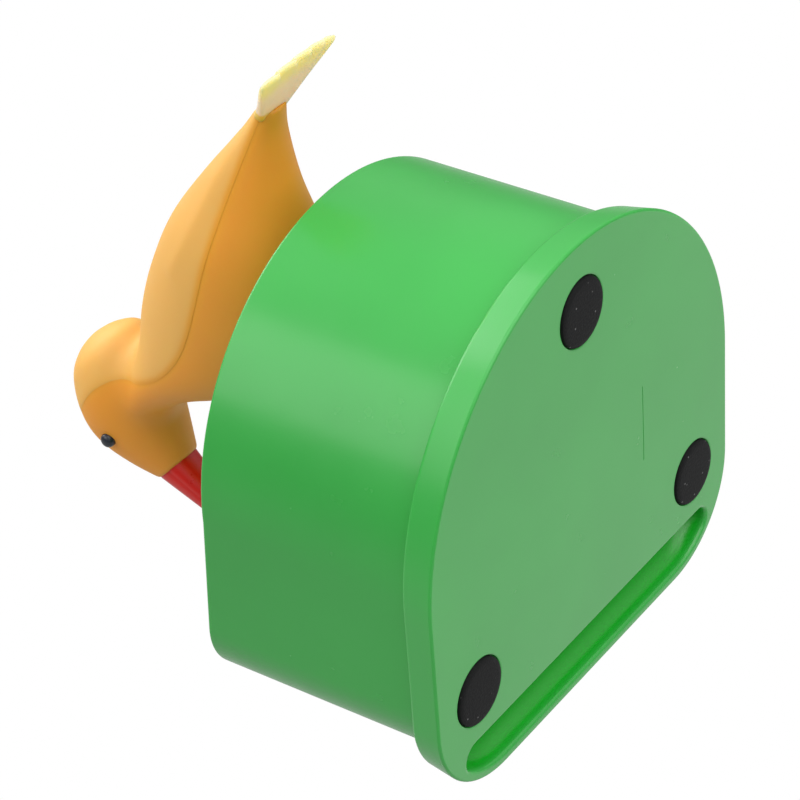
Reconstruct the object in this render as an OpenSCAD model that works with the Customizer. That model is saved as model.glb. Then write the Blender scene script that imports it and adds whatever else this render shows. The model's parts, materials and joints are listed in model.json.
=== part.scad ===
// Dipping bird on a D-shaped toothpick box. The bird turns on a pin that is hidden inside
// its body and dips its beak into the trough at the flat front of the box.
// Origin: on the surface the feet stand on, under the middle of the overall length.
// +Z is up, -Y is the flat front that the bird faces, +X is the bird's left side.

/* [Box] */
// Width of the base flange, side to side
base_w = 75.4; // [72:0.2:80]
// Straight depth of the base flange, from the flat front to the centre of the round back
base_front = 34; // [30:0.5:36]
// Radius of the flange's two front corners
base_corner = 15; // [10:0.5:18]
// Height of the base flange
flange_h = 5.2; // [4:0.1:6]
// How far the wall stands in from the flange's edge
wall_inset = 2.8; // [2.5:0.1:4]
// Thickness of the moulded walls
wall = 2; // [1.6:0.1:2.4]
// Height of the box's flat top above the surface it stands on
box_top = 39.9; // [39.6:0.1:40.2]
// How much higher the top is at the flat front
front_rise = 2.3; // [0:0.1:3]

/* [Feet] */
// Diameter of each rubber foot
foot_d = 10; // [8:0.5:11]
// How far the feet stand out of the base
foot_out = 0.4; // [0.3:0.1:1]
// Spacing of the two front feet
foot_spacing = 56; // [50:1:58]
// Distance from the front feet back to the rear foot
foot_reach = 44.5; // [40:0.5:46]

/* [Trough] */
// Size of the opening in the top, front to back
trough_open = 16.4; // [14:0.2:18]
// Height of the trough's floor above the surface the box stands on
trough_floor = 30.9; // [30:0.1:32]

/* [Bird] */
// Height of the bird's pivot above the surface the box stands on
pivot_z = 64.7; // [64:0.1:66]
// Wall thickness of the bird's two shells
shell_t = 1.6; // [1.2:0.1:2]
// Length of the beak in front of the face
beak_len = 15; // [12:0.5:16]
// Diameter of the beak where it meets the face
beak_d = 6.6; // [6:0.1:7]
// Diameter of each eye
eye_d = 2.4; // [1.8:0.1:2.8]
// Length of the tail fan behind the body
tail_len = 12.43; // [12:0.01:15]

/* [Pivot] */
// Diameter of the pivot pin
pin_d = 3; // [2.5:0.1:3.2]
// Radial clearance of the pin in the post
pin_play = 0.05; // [0.02:0.01:0.1]
// Width of the post between the bird's two lugs
post_w = 8; // [7:0.5:9]
// Wire diameter of the return spring
wire_d = 0.7; // [0.5:0.1:0.8]

/* [Hidden] */
$fn = 64;
slice = 0.1;

green = [0.30, 0.72, 0.36];
orange = [0.87, 0.65, 0.33];
light_orange = [0.90, 0.70, 0.44];
cream = [0.91, 0.83, 0.55];
red = [0.66, 0.16, 0.10];
steel = [0.72, 0.73, 0.75];
black = [0.15, 0.15, 0.16];

// Box: all outlines share the centre of the round back.
round_y = -10;
base_z = foot_out;
flange_top = base_z + flange_h;
base_r = base_w / 2;
wall_r = base_r - wall_inset;
wall_front = base_front - wall_inset;
wall_corner = base_corner - wall_inset;
inner_r = wall_r - wall;
inner_front = wall_front - wall;
inner_corner = wall_corner - wall;
plate_t = 2;
edge_r = 0.5;
flange_draft = 0.8;
rim_t = 1.2;
rim_h = 1.8;

// Feet, and the screws that they hide
foot_y = -27.5;
// Each foot's place, and the direction of the nearest wall
foot_sites = [[foot_spacing / 2, foot_y, 0], [-foot_spacing / 2, foot_y, 180], [0, foot_y + foot_reach, 90]];
foot_recess = 0.8;
screw_r = 1.25;
head_r = 2.5;
head_h = 1.6;
boss_r = 3.2;
boss_top = 25;
screw_tip = 16;

// Finger recess under the flat front edge
recess_y = -35.7;
recess_edge = 1.4;
recess_h = 3.9;
recess_half_w = 32;

// Height of the hopper floor's raised back edge
hopper_back = 33;

// Pivot, and the post that carries it
pivot_y = -5.5;
post_t = 7;
post_head_r = 4;
foot_plate = [20, 8.6, 3];
post_screw_x = 7;
post_screw_y = pivot_y + 0.8;
pin_r = pin_d / 2;
pin_half = 8.3;
lug_x = 6.7;
lug_t = 2.6;
lug_r = 3.6;
slot_half = 5.2;
slot_back = 4.8;
pad_y = 8.5;
pad_top = 43.45;

// Bird: every place is measured from its pivot as [y, z], and a section of the body is
// [top point, bottom point, half width].
body_sections = [
    [[39.6, -7.3], [40.4, -11], 2.6],
    [[35, -3.8], [35, -10.4], 4.3],
    [[27.5, 2.7], [26, -11.4], 7.1],
    [[19, 9.2], [16, -14.3], 10],
    [[10, 13.9], [6, -15.2], 10.9],
    [[2.5, 16.6], [-3.5, -11], 10.7],
    [[-4, 17.8], [-9, -3.5], 10],
    [[-10, 20], [-11.4, 4], 8.8],
    [[-15.6, 22.8], [-14.4, 10], 7.4]];
body_shift = [0, -6];
// A section of the head is [place along its axis, shift towards the crown, half height, half width].
head_sections = [
    [-12.1, -4.6, 0.8, 0.8],
    [-11.4, -4.8, 4.2, 3.2],
    [-9.4, -4.8, 7.5, 5.9],
    [-5.5, -3.5, 9, 7.5],
    [-1.5, -1.8, 8.7, 7.9],
    [2.5, -0.8, 7.7, 7.2],
    [7, -0.2, 5.8, 5.6],
    [11.4, 0, 3.6, 3.6]];
head_at = [-22.3, 18.6];
head_angle = 226;
beak_angle = 235;
beak_tip_r = 1.3;
beak_root = head_at + 11.3 * [cos(head_angle), sin(head_angle)];
needle_r = 0.35;
needle_out = 1.5;
ring_n = 24;
// Edge where the back shell overlaps the belly shell, from the tail to the forehead
crease = [[46, -17.5], [28, -11.5], [6, -5], [-4, 1], [-10, 9], [-13.5, 17], [-19, 22], [-32, 30]];
eye_at = [-23.7, 17.4];
eye_x = 7.1;
tail_root = [39.9, -15.1];
tail_angle = -33;
tail_half = 8;
tail_root_half = 3.4;
tail_t = 1.8;
tail_tip_r = 1.9;
feathers = 5;
screw_y = 24;
screw_z = -17.4;

// D outline: round back, straight sides, flat front with round corners
module d_outline(r, front, corner) {
    intersection() {
        circle(r);
        translate([-r, 0]) square([2 * r, r]);
    }
    translate([-r, corner - front]) square([2 * r, front - corner]);
    translate([corner - r, -front]) square([2 * (r - corner), front]);
    for (s = [-1, 1]) translate([s * (r - corner), corner - front]) circle(corner);
}

module d_prism(inset, z0, z1) {
    translate([0, round_y, z0])
        linear_extrude(z1 - z0) d_outline(base_r - inset, base_front - inset, base_corner - inset);
}

module at_feet() {
    for (p = foot_sites) translate([p[0], p[1], 0]) rotate(p[2]) children();
}

// Base
module base_solid() {
    hull() {
        d_prism(edge_r, base_z, base_z + slice);
        d_prism(edge_r * 0.3, base_z + edge_r * 0.3, base_z + edge_r * 0.3 + slice);
        d_prism(0, base_z + edge_r, base_z + edge_r + slice);
        d_prism(flange_draft, flange_top - edge_r, flange_top - edge_r + slice);
        d_prism(flange_draft + edge_r, flange_top - slice, flange_top);
    }
}

module finger_recess() {
    intersection() {
        d_prism(recess_edge, base_z - 1, base_z + recess_h);
        translate([-recess_half_w, recess_y - 20, base_z - 1]) cube([2 * recess_half_w, 20, recess_h + 1]);
    }
}

module base_tray() {
    color(green) difference() {
        union() {
            difference() {
                base_solid();
                intersection() {
                    d_prism(wall_inset + wall + rim_t, base_z + plate_t, flange_top + 1);
                    translate([-50, recess_y + plate_t, 0]) cube([100, 100, 50]);
                }
            }
            difference() {
                d_prism(wall_inset + wall + 0.1, flange_top - 1, flange_top + rim_h);
                d_prism(wall_inset + wall + rim_t, flange_top - 2, flange_top + rim_h + 1);
                translate([-50, recess_y - 20, flange_top]) cube([100, 20, 20]);
            }
            at_feet() translate([0, 0, base_z + 1]) cylinder(r = 3.9, h = flange_h);
        }
        at_feet() translate([0, 0, -1]) cylinder(d = foot_d + 0.2, h = base_z + foot_recess + 1);
        at_feet() cylinder(r = head_r + 0.15, h = base_z + foot_recess + head_h + 0.1);
        at_feet() cylinder(r = screw_r + 0.15, h = 20);
        finger_recess();
    }
}

module foot() {
    color(black) {
        cylinder(d1 = foot_d - 0.5, d2 = foot_d, h = 0.25);
        translate([0, 0, 0.25]) cylinder(d = foot_d, h = base_z + foot_recess - 0.25);
    }
}

module foot_at(p) { translate([p[0], p[1], 0]) foot(); }
module foot_left() { foot_at(foot_sites[0]); }
module foot_right() { foot_at(foot_sites[1]); }
module foot_rear() { foot_at(foot_sites[2]); }

module base_screws() {
    color(steel) at_feet() translate([0, 0, base_z + foot_recess + 0.02]) difference() {
        union() {
            cylinder(r = head_r, h = head_h);
            cylinder(r = screw_r, h = screw_tip);
        }
        for (a = [0, 90]) rotate(a) translate([-1.5, -0.35, -1]) cube([3, 0.7, 1.8]);
    }
}

// Housing
module top_cut() {
    translate([-50, 0, 0]) rotate([90, 0, 90]) linear_extrude(100) polygon([
        [round_y, box_top], [round_y - wall_front, box_top + front_rise],
        [round_y - wall_front - 5, box_top + front_rise + 20], [60, 80], [60, box_top]]);
}

module trough_opening() {
    intersection() {
        d_prism(wall_inset + wall, 30, 60);
        translate([-50, round_y - inner_front, 30]) cube([100, trough_open, 30]);
    }
}

module housing() {
    color(green) difference() {
        union() {
            difference() {
                d_prism(wall_inset, flange_top, box_top + front_rise + 1);
                d_prism(wall_inset + wall, flange_top - 1, box_top - plate_t);
            }
            at_feet() housing_boss();
        }
        top_cut();
        trough_opening();
        at_feet() cylinder(r = screw_r, h = screw_tip + 4);
        for (s = [-1, 1]) translate([s * post_screw_x, post_screw_y, 30]) cylinder(r = 1.2, h = 20);
        translate([0, pad_y, 30]) cylinder(r = 1.5, h = 20);
    }
}

// A boss stands over each foot, and a web joins it to the nearest wall.
module housing_boss() {
    boss_z = flange_top + 1.05;
    translate([0, 0, boss_z]) cylinder(r = boss_r, h = boss_top - boss_z);
    translate([0, -1, boss_z + 2]) cube([6, 2, boss_top - boss_z - 2]);
}

// Hopper: a sloped floor that brings the toothpicks down to the trough
module hopper_tray() {
    t = 1.5;
    top = box_top - plate_t - 0.1;
    front = round_y - inner_front + 0.2;
    color(green) {
        intersection() {
            d_prism(wall_inset + wall + 0.2, 20, box_top);
            translate([-50, 0, 0]) rotate([90, 0, 90]) linear_extrude(100) polygon([
                [front, top], [front + 7.2, trough_floor - t], [front + 12.4, trough_floor - t],
                [-8.5, hopper_back - t], [-8.5, top], [-8.5 - t, top], [-8.5 - t, hopper_back],
                [front + 12.2, trough_floor], [front + 7.9, trough_floor], [front + t, top]]);
        }
        for (s = [-1, 1]) translate([s * 18 - t / 2, -26, base_z + plate_t + 0.05])
            cube([t, 12, 27]);
    }
}

// Post
module pivot_post() {
    color(green) difference() {
        union() {
            translate([-foot_plate[0] / 2, post_screw_y - foot_plate[1] / 2, box_top]) cube(foot_plate);
            translate([-post_w / 2, pivot_y - post_t / 2, box_top]) cube([post_w, post_t, pivot_z - box_top]);
            translate([-post_w / 2, pivot_y, pivot_z]) rotate([0, 90, 0]) cylinder(r = post_head_r, h = post_w);
        }
        translate([-20, pivot_y, pivot_z]) rotate([0, 90, 0]) cylinder(r = pin_r + pin_play, h = 40);
        for (s = [-1, 1]) translate([s * post_screw_x, post_screw_y, box_top - 1])
            cylinder(r = 1, h = foot_plate[2] + 0.6);
    }
}

module post_screws() {
    color(steel) for (s = [-1, 1]) translate([s * post_screw_x, post_screw_y, box_top - plate_t - 1.3]) {
        cylinder(r = 2, h = 1.28);
        cylinder(r = 1, h = 1.3 + plate_t + foot_plate[2] - 0.6);
    }
}

module stop_pad() {
    color(black) {
        translate([0, pad_y, box_top]) cylinder(r = 3, h = pad_top - box_top);
        translate([0, pad_y, box_top - plate_t - 0.8]) cylinder(r = 1.48, h = plate_t + 1);
        translate([0, pad_y, box_top - plate_t - 1.2]) cylinder(r = 2.1, h = 1.15);
    }
}

module pivot_pin() {
    color(steel) translate([-pin_half, pivot_y, pivot_z]) rotate([0, 90, 0])
        cylinder(r = pin_r, h = 2 * pin_half);
}

module pin_spacer() {
    color("white") translate([-lug_x + 0.1, pivot_y, pivot_z]) rotate([0, 90, 0]) difference() {
        cylinder(r = 2.8, h = lug_x - post_w / 2 - 0.3);
        translate([0, 0, -1]) cylinder(r = pin_r + 0.05, h = 10);
    }
}

// Return spring: one leg down beside the post, three turns round the pin, one leg forward
spring_r = 2.6;
spring_turns = 3;
spring_x0 = post_w / 2 + 0.2 + wire_d / 2;
spring_pitch = (lug_x - spring_x0 - wire_d / 2 - 0.15) / spring_turns;
spring_steps = 18;
spring_sides = 8;

function coil_point(k) = let (a = 360 * k / spring_steps)
    [spring_x0 + spring_pitch * k / spring_steps, spring_r * cos(a), spring_r * sin(a)];

function coil_path() = concat(
    [[spring_x0, spring_r, -14], [spring_x0, spring_r, -7]],
    [for (k = [0:spring_turns * spring_steps + spring_steps / 2]) coil_point(k * spring_turns / (spring_turns + 0.5))],
    [for (p = [coil_point(spring_turns * spring_steps)]) [p[0], p[1] - 0.01, p[2] - 8]]);

function unit(v) = v / norm(v);

module swept_wire(path, r, sides) {
    n = len(path);
    points = [for (i = [0:n - 1])
        let (t = unit(path[min(i + 1, n - 1)] - path[max(i - 1, 0)]),
            u = unit(cross(t, [1, 0, 0])),
            v = cross(t, u))
        for (k = [0:sides - 1]) path[i] + r * (cos(360 * k / sides) * u + sin(360 * k / sides) * v)];
    faces = concat(
        [[for (k = [0:sides - 1]) k]],
        [for (i = [0:n - 2]) for (k = [0:sides - 1]) let (a = i * sides + k, b = i * sides + (k + 1) % sides)
            each [[a, a + sides, b], [b, a + sides, b + sides]]],
        [[for (k = [0:sides - 1]) n * sides - 1 - k]]);
    polyhedron(points, faces);
}

module return_spring() {
    color(steel) translate([0, pivot_y, pivot_z]) swept_wire(coil_path(), wire_d / 2, spring_sides);
}

// Bird skin: a chain of elliptical sections, hulled in pairs
module section(mid, up_angle, half_h, half_w, thick) {
    translate([0, mid[0], mid[1]]) rotate([up_angle, 0, 0])
        linear_extrude(thick, center = true) scale([half_w, half_h]) circle(1, $fn = ring_n);
}

// Thickness of a section's slice: the hollow's slices are thicker, so its ends never lie in the skin's
function slice_at(t) = slice + 0.12 * t;

module body_section(s, t) {
    up = s[0] - s[1];
    section((s[0] + s[1]) / 2 + body_shift, atan2(up[1], up[0]), norm(up) / 2 - t, s[2] - t, slice_at(t));
}

module head_section(s, t) {
    section(head_place(s[0], s[1]), head_angle - 90, s[2] - t, s[3] - t, slice_at(t));
}

function head_place(along, up) = head_at + along * [cos(head_angle), sin(head_angle)]
    + up * [sin(head_angle), -cos(head_angle)];

module bird_skin() {
    for (i = [0:len(body_sections) - 2]) hull() {
        body_section(body_sections[i], 0);
        body_section(body_sections[i + 1], 0);
    }
    for (i = [0:len(head_sections) - 2]) hull() {
        head_section(head_sections[i], 0);
        head_section(head_sections[i + 1], 0);
    }
}

// The hollow stops short of both ends, so the tail and the beak have something to sit in.
module bird_hollow(t) {
    for (i = [1:len(body_sections) - 2]) hull() {
        body_section(body_sections[i], t);
        body_section(body_sections[i + 1], t);
    }
    for (i = [1:len(head_sections) - 3]) hull() {
        head_section(head_sections[i], t);
        head_section(head_sections[i + 1], t);
    }
}

// Region above the crease, raised by gap so that the two shells part
module above_crease(gap) {
    translate([-30, 0, gap]) rotate([90, 0, 90])
        linear_extrude(60) polygon(concat(crease, [[-50, 30], [-50, 60], [60, 60], [60, -20]]));
}

module at_pivot() { translate([0, pivot_y, pivot_z]) children(); }

module belly_shell() {
    color(orange) at_pivot() difference() {
        union() {
            difference() {
                bird_skin();
                bird_hollow(shell_t);
                above_crease(0);
            }
            difference() {
                union() {
                    screw_boss();
                    intersection() {
                        bird_hollow(shell_t * 0.6);
                        lugs();
                    }
                }
                above_crease(0);
            }
            intersection() {
                bird_hollow(shell_t + 0.2);
                lugs();
            }
        }
        translate([-pin_half, 0, 0]) rotate([0, 90, 0]) cylinder(r = pin_r, h = 2 * pin_half);
        post_slot();
        screw_hole();
        tail_tang(0.05);
        beak_tang(0.05);
        at_beak() cylinder(r = beak_d, h = 3);
        for (side = [-1, 1]) eye_at_side(side) eye_shape(0.04);
    }
}

// Two ribs that hold the pin on either side of the post
module lugs() {
    for (s = [-1, 1]) translate([s > 0 ? lug_x : -lug_x - lug_t, 0, 0]) {
        rotate([0, 90, 0]) cylinder(r = lug_r, h = lug_t);
        translate([0, -lug_r, -30]) cube([lug_t, 2 * lug_r, 30]);
    }
}

// Slot that lets the post swing towards the breast as the bird dips
module post_slot() {
    translate([-slot_half, 0, 0]) rotate([90, 0, 90]) linear_extrude(2 * slot_half)
        polygon([[slot_back, 0], [slot_back, -30], [-30, -30], [-30, -14], [-4, 6]]);
}

module back_shell() {
    color(light_orange) at_pivot() difference() {
        intersection() {
            union() {
                difference() {
                    bird_skin();
                    bird_hollow(shell_t);
                }
                screw_boss();
            }
            above_crease(0.05);
        }
        screw_hole();
        tail_tang(0.05);
    }
}

// Screw that draws the two shells together, up through the belly
module shell_screw() {
    color(steel) at_pivot() translate([0, screw_y, screw_z]) {
        cylinder(r = 1.9, h = 1.3);
        cylinder(r = 1, h = 12);
    }
}

module screw_boss() {
    intersection() {
        bird_skin();
        translate([0, screw_y, screw_z - 5]) cylinder(r = 2.6, h = 22);
    }
}

module screw_hole() {
    translate([0, screw_y, screw_z]) cylinder(r = 1, h = 12.1);
    translate([0, screw_y, screw_z - 6]) cylinder(r = 2, h = 7.35);
}

// Tail: a fan of rounded feathers with a tang that the shells clamp
module tail_tang(play) {
    translate([0, tail_root[0], tail_root[1]]) rotate([tail_angle, 0, 0])
        translate([-1.4 - play, -4.5, -0.8 - play]) cube([2.8 + 2 * play, 5, 1.6 + 2 * play]);
}

module tail() {
    fan = tail_len - tail_tip_r;
    color(cream) at_pivot() {
        translate([0, tail_root[0], tail_root[1]]) rotate([tail_angle, 0, 0])
            linear_extrude(tail_t, center = true) {
                polygon([[-tail_root_half, 0.5], [-tail_half, fan], [tail_half, fan], [tail_root_half, 0.5]]);
                for (k = [0:feathers - 1])
                    translate([(2 * k - feathers + 1) * tail_half / feathers, fan]) circle(tail_tip_r);
            }
        tail_tang(0);
    }
}

module at_beak() {
    translate([0, beak_root[0], beak_root[1]]) rotate([beak_angle - 90, 0, 0]) children();
}

module beak_tang(play) {
    at_beak() translate([0, 0, -3.2]) cylinder(r = 1.6 + play, h = 3.5);
}

module beak() {
    color(red) at_pivot() difference() {
        union() {
            at_beak() cylinder(r1 = beak_d / 2, r2 = beak_tip_r, h = beak_len);
            beak_tang(0);
        }
        at_beak() translate([0, 0, beak_len - 5]) cylinder(r = needle_r, h = 6);
    }
}

module pick_needle() {
    color(steel) at_pivot() at_beak() translate([0, 0, beak_len - 5]) {
        cylinder(r = needle_r, h = 4.5 + needle_out);
        translate([0, 0, 4.5 + needle_out]) cylinder(r1 = needle_r, r2 = 0.08, h = 0.5);
    }
}

module eye_shape(play) {
    sphere(d = eye_d + 2 * play);
    rotate([0, -90, 0]) cylinder(d = eye_d * 0.6 + 2 * play, h = 2 + play);
}

module eye_at_side(side) {
    mirror([side < 0 ? 1 : 0, 0, 0]) translate([eye_x, eye_at[0], eye_at[1]]) children();
}

module eye_left() { color(black) at_pivot() eye_at_side(1) eye_shape(0); }
module eye_right() { color(black) at_pivot() eye_at_side(-1) eye_shape(0); }

base_tray();
foot_left();
foot_right();
foot_rear();
base_screws();
housing();
hopper_tray();
pivot_post();
post_screws();
stop_pad();
pivot_pin();
pin_spacer();
return_spring();
belly_shell();
back_shell();
shell_screw();
tail();
beak();
pick_needle();
eye_left();
eye_right();
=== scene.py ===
"""Looks of the dipping bird on its toothpick box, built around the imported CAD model.

Every length below is in millimetres and is turned into metres where a mesh is made.
Box places are in the CAD model's frame. Bird places are [y, z] measured from the bird's pivot.
"""

import json
import math

import bmesh
import bpy
import numpy as np
from mathutils import Matrix, Vector


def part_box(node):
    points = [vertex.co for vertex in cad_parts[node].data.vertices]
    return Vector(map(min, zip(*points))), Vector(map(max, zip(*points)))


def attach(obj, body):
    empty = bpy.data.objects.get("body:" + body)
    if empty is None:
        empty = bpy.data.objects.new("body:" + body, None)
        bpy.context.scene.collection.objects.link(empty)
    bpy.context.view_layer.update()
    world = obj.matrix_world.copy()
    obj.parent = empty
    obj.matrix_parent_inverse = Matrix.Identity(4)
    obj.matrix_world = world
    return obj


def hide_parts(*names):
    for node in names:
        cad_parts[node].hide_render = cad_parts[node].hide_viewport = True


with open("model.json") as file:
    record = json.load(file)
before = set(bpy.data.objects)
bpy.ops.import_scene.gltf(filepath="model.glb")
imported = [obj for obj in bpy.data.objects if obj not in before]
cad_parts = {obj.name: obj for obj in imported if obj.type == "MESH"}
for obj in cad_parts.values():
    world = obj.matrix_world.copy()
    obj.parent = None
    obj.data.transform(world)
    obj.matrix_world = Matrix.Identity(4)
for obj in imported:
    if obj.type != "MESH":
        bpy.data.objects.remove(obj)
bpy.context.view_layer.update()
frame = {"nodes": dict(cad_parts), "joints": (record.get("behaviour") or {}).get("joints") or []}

MM = 0.001


def node_box(name):
    """Lowest and highest corner of a CAD node, in millimetres."""
    lo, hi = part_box(name)
    return lo / MM, hi / MM


# Sizes read from the CAD
BASE_LO, BASE_HI = node_box("base_tray")
HOUSING_LO, HOUSING_HI = node_box("housing")
FOOT_NODES = ["foot_left", "foot_right", "foot_rear"]
BASE_R = BASE_HI.x
BASE_Z = BASE_LO.z
FLANGE_TOP = HOUSING_LO.z
WALL_INSET = BASE_R - HOUSING_HI.x
ROUND_Y = BASE_HI.y - BASE_R
BOX_TOP = node_box("pivot_post")[0].z
FRONT_TOP = HOUSING_HI.z
PIVOT = Vector(frame["joints"][0]["pos_m"]) / MM

# Box details
WALL = 2.0
CORNER_R = 15.0
# Holes for the screws behind the feet
SCREW_HEAD_R = 2.65
SCREW_HEAD_H = 1.7
SCREW_R = 1.4
# The trough's opening, front to back, and the radius of its two back corners
TROUGH_DEPTH = 16.4
TROUGH_BACK_R = 2.5
# How far in the flange is at its top, how much less that is in front, and its top edge's radius
FLANGE_DRAFT = 0.8
FLANGE_FRONT_LESS = 0.4
FLANGE_EDGE_R = 0.8
# How far in the front wall stands at its foot, from where it leans out towards its top
FRONT_DRAFT = 0.35
# How far the base's hollow stays in from its edge, and the radius of its front corners
CAVITY_INSET = 6.3
CAVITY_CORNER_R = 2
# Radius of the base's bottom edge and of the box's top edge
BOTTOM_EDGE_R = 0.4
TOP_EDGE_R = 0.5
# Finger recess: its straight back edge, its mouth's rounding, and the depth beyond that
RECESS_Y = -35.7
RECESS_MOUTH = 0.5
RECESS_DEPTH = 3.6
# Width of the rim in front of the recess, and the radius of its two back corners
RECESS_RIM = 1.6
RECESS_END_R = 2.2
# The recess curves in towards a line this far in front of its back edge, with this half length
RECESS_SPINE = 1.6
RECESS_SPINE_HALF = 28.5
# Fine groove in the underside: middle, half length, half width and depth
GROOVE_AT = (-14.5, -10.2)
GROOVE_HALF = 6.3
GROOVE_HALF_W = 0.16
GROOVE_DEPTH = 0.05

# Bird skin: body sections are top point, bottom point, half width
BODY = [
    (39.6, -13.4, 40.4, -17.0, 2.6),
    (35.0, -9.9, 35.0, -16.4, 4.2),
    (27.5, -3.4, 26.0, -17.4, 7.0),
    (19.0, 3.1, 16.0, -20.3, 9.9),
    (10.0, 7.8, 6.0, -21.2, 10.8),
    (2.5, 10.5, -3.0, -17.0, 10.6),
    (-4.0, 11.7, -8.4, -9.5, 10.0),
    (-10.0, 13.9, -11.4, -2.0, 8.8),
    (-15.6, 16.8, -14.4, 4.0, 7.4),
    (-21.0, 20.0, -19.0, 10.5, 6.0),
]
# Head sections are place along its axis, shift towards the crown, half height, half width
HEAD = [
    (-12.1, -4.6, 0.8, 0.8),
    (-11.4, -4.8, 4.2, 3.2),
    (-9.4, -4.8, 7.5, 5.9),
    (-5.5, -3.5, 9.0, 7.5),
    (-1.5, -2.0, 8.9, 7.9),
    (2.5, -1.0, 7.9, 7.2),
    (7.0, -0.3, 5.9, 5.6),
    (11.4, 0.0, 3.7, 3.7),
]
HEAD_AT = (-22.3, 18.6)
HEAD_ANGLE = 226
BEAK_ANGLE = 235
# Beak: where it starts along the head's axis, its length, and its radius at root and tip
BEAK_FROM = 11.3
BEAK_LEN = 15.0
BEAK_ROOT_R = 3.3
BEAK_TIP_R = 1.3
# Line through the nape about which the valley is filled, and how far the filling reaches and fades
NECK_LINE = [(-9, 5), (-12, 11), (-13.5, 18)]
NECK_REACH = 12.0
NECK_FADE = 5.0
# Rounds of smoothing: the first ones only move the skin outwards, the last ones both ways
NECK_ROUNDS = 1600
SMOOTH_ROUNDS = 12
# Grain of the mesh that the skin is rebuilt with, and the shells' wall
SKIN_VOXEL = 0.36
SHELL_T = 1.6
# Edge of the back shell: straight along the flank, bent up the neck, and rounded over the head
CREASE = [(46, -17.5), (28, -11.5), (6, -5), (-4, 1), (-10, 9), (-13.5, 17), (-19, 22), (-32, 30)]
# Height over the pivot from which the crease gets softer, round the hood
HOOD_FROM_Z = 8.0
# How far the painted shade along the crease spreads
CREASE_SHADE_SPREAD = 0.75
# How far the back shell stands proud, and how far the belly sinks beside the crease
BACK_LIP = 0.1
BELLY_SINK = 0.03
# Soft fold along the back, beside the crease, and its height
FOLD = [(34, -10.5), (24, -6.5), (14, -1.5)]
FOLD_HEIGHT = 0.22
# Slot in the belly for the pivot post: its outline and half its width
SLOT = [(4.8, 2), (4.8, -30), (-30, -30), (-30, -14), (-4, 6), (1, 6)]
SLOT_HALF = 5.2
# Sockets of a colour mix node: its two colours in and the one out
MIX_A, MIX_B, MIX_OUT = 6, 7, 2


# ---------------------------------------------------------------- mesh helpers


def mesh_object(name, vertices, faces):
    """A mesh object from points in millimetres."""
    mesh = bpy.data.meshes.new(name)
    mesh.from_pydata([tuple(c * MM for c in v) for v in vertices], [], faces)
    obj = bpy.data.objects.new(name, mesh)
    bpy.context.scene.collection.objects.link(obj)
    clean(obj)
    return obj


def clean(obj, distance=1e-3):
    """Merges points closer than distance millimetres and turns the faces outwards."""
    bm = bmesh.new()
    bm.from_mesh(obj.data)
    bmesh.ops.remove_doubles(bm, verts=bm.verts, dist=distance * MM)
    bmesh.ops.dissolve_degenerate(bm, edges=bm.edges, dist=1e-7)
    bmesh.ops.recalc_face_normals(bm, faces=bm.faces)
    bm.to_mesh(obj.data)
    bm.free()


def loft(name, rings, closed=True):
    """Skins a list of rings of equal length, with a flat cap on each end where closed."""
    n = len(rings[0])
    vertices = [p for ring in rings for p in ring]
    faces = []
    for i in range(len(rings) - 1):
        for k in range(n):
            a, b = i * n + k, i * n + (k + 1) % n
            faces.append((a, b, b + n, a + n))
    if closed:
        last = (len(rings) - 1) * n
        faces.append(tuple(reversed(range(n))))
        faces.append(tuple(range(last, last + n)))
    return mesh_object(name, vertices, faces)


def lathe(name, profile, at=(0, 0, 0), steps=64):
    """Turns a profile of (radius, height) round the Z axis."""
    rings = []
    for r, z in profile:
        angles = [2 * math.pi * k / steps for k in range(steps)]
        rings.append([(at[0] + r * math.cos(a), at[1] + r * math.sin(a), at[2] + z) for a in angles])
    return loft(name, rings)


def arc(cx, cy, r, start, end, steps):
    """Points on an arc, angles in degrees."""
    angles = [math.radians(start + (end - start) * k / steps) for k in range(steps + 1)]
    return [(cx + r * math.cos(a), cy + r * math.sin(a)) for a in angles]


def outline(half_x, y0, y1, front_r, back_r, inset=0.0):
    """A rounded block's outline seen from above, from its right side round the back to its front."""
    half_x, y0, y1 = half_x - inset, y0 + inset, y1 - inset
    front_r, back_r = max(front_r - inset, 0.05), max(back_r - inset, 0.05)
    points = arc(half_x - back_r, y1 - back_r, back_r, 0, 90, 40)
    points += arc(back_r - half_x, y1 - back_r, back_r, 90, 180, 40)
    points += side_points((-half_x, y1 - back_r), (-half_x, y0 + front_r), 8)
    points += arc(front_r - half_x, y0 + front_r, front_r, 180, 270, 24)
    points += side_points((front_r - half_x, y0), (half_x - front_r, y0), 16)
    points += arc(half_x - front_r, y0 + front_r, front_r, 270, 360, 24)
    points += side_points((half_x, y0 + front_r), (half_x, y1 - back_r), 8)
    return points


def side_points(a, b, steps):
    """Points strictly between two corners."""
    return [(a[0] + (b[0] - a[0]) * k / steps, a[1] + (b[1] - a[1]) * k / steps) for k in range(1, steps)]


def raised(points, height):
    """Lifts [x, y] points to a height, which is a number or a function of y."""
    if callable(height):
        return [(x, y, height(y)) for x, y in points]
    return [(x, y, height) for x, y in points]


def box_ring(inset, height, front=0.0):
    """The box's D outline, inset from the base's edge and by front more at its flat front."""
    return raised(outline(BASE_R, BASE_LO.y + front, BASE_HI.y, CORNER_R, BASE_R, inset), height)


def modify(obj, kind, **settings):
    """Adds a modifier, applies it and hands the object back."""
    modifier = obj.modifiers.new(kind.lower(), kind)
    for key, value in settings.items():
        setattr(modifier, key, value)
    evaluated = obj.evaluated_get(bpy.context.evaluated_depsgraph_get())
    mesh = bpy.data.meshes.new_from_object(evaluated)
    obj.modifiers.clear()
    old = obj.data
    obj.data = mesh
    bpy.data.meshes.remove(old)
    return obj


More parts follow.
